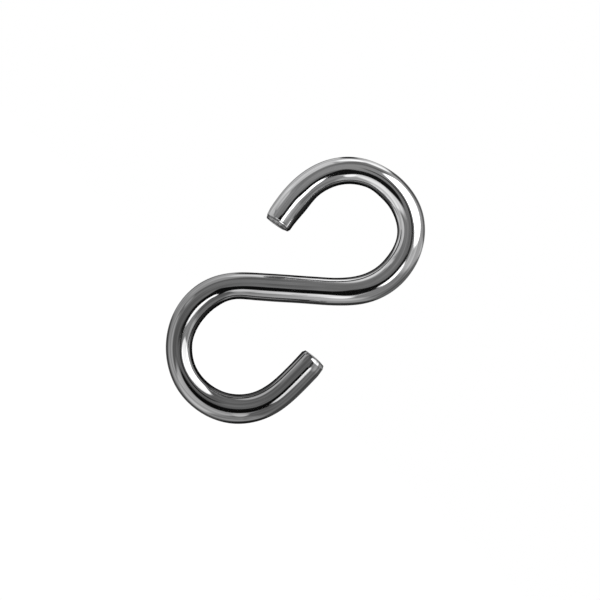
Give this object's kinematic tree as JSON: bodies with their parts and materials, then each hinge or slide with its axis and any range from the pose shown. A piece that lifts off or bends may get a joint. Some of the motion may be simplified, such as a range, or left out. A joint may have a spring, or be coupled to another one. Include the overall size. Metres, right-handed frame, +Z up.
{
  "type": "meat hook",
  "caption": "Open S-shaped hook bent from a round bar, with blunt ends, for hanging a load from a rail.",
  "frame": {"origin": "centre of the hook's outline, at the middle of the shank", "axes": "+Z up along the load line, from the lower loop's seat to the upper loop's seat; +Y through the bar's thickness; the hook lies in the XZ plane, with the upper end at -X and the lower end at +X"},
  "size_m": [0.0423, 0.008, 0.0864],
  "materials": {
    "polished_steel": "polished round bar with fine drawing lines along it, light handling scratches and cropped ends"
  },
  "bodies": {
    "root": {"hook_bar": "polished_steel"}
  },
  "joints": []
}
